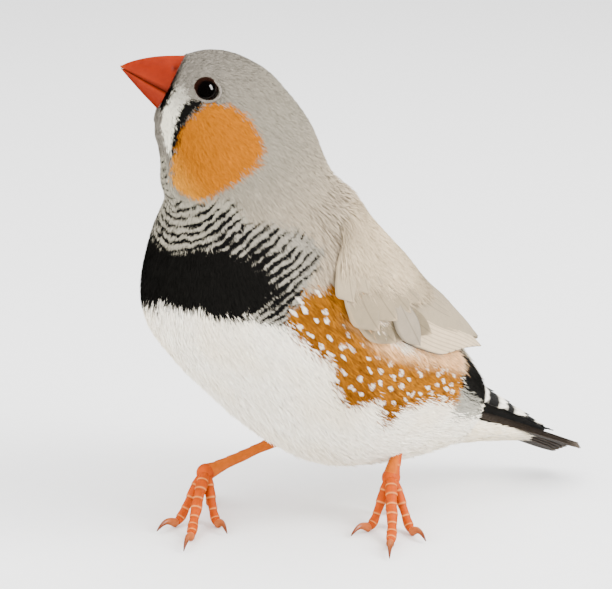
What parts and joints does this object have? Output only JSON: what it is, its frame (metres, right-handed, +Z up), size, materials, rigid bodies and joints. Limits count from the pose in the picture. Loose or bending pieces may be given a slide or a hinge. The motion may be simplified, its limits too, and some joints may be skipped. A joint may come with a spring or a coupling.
{
  "type": "zebra finch",
  "caption": "Male zebra finch standing at rest with its head turned, orange cheeks, black breast band and spotted flanks.",
  "frame": {"origin": "on the floor, under the middle of the bird's footprint", "axes": "+Z up, the bird faces -Y and its left side is +X"},
  "size_m": [0.0406, 0.0734, 0.0728],
  "materials": {
    "grey_plumage": "short soft feathers",
    "breast_plumage": "short soft feathers",
    "white_plumage": "short soft feathers",
    "wing_plumage": "smooth vaned feathers",
    "tail_plumage": "smooth vaned feathers",
    "bill_horn": "waxy horn",
    "leg_skin": "scaled skin",
    "claw_horn": "horn",
    "eye_wet": "wet and glossy"
  },
  "bodies": {
    "root": {"head": "grey_plumage", "neck": "grey_plumage", "breast": "breast_plumage", "torso": "white_plumage", "rump": "white_plumage", "bill_upper": "bill_horn", "bill_lower": "bill_horn", "eye_left": "eye_wet", "eye_right": "eye_wet", "tail": "tail_plumage", "tail_coverts_upper": "tail_plumage", "tail_coverts_under": "white_plumage", "wing_left": "wing_plumage", "wing_right": "wing_plumage", "tarsus_left": "leg_skin", "tarsus_right": "leg_skin", "foot_left": "leg_skin", "foot_right": "leg_skin", "claw_left_middle": "claw_horn", "claw_left_inner": "claw_horn", "claw_left_outer": "claw_horn", "claw_left_hind": "claw_horn", "claw_right_middle": "claw_horn", "claw_right_inner": "claw_horn", "claw_right_outer": "claw_horn", "claw_right_hind": "claw_horn"}
  },
  "joints": []
}
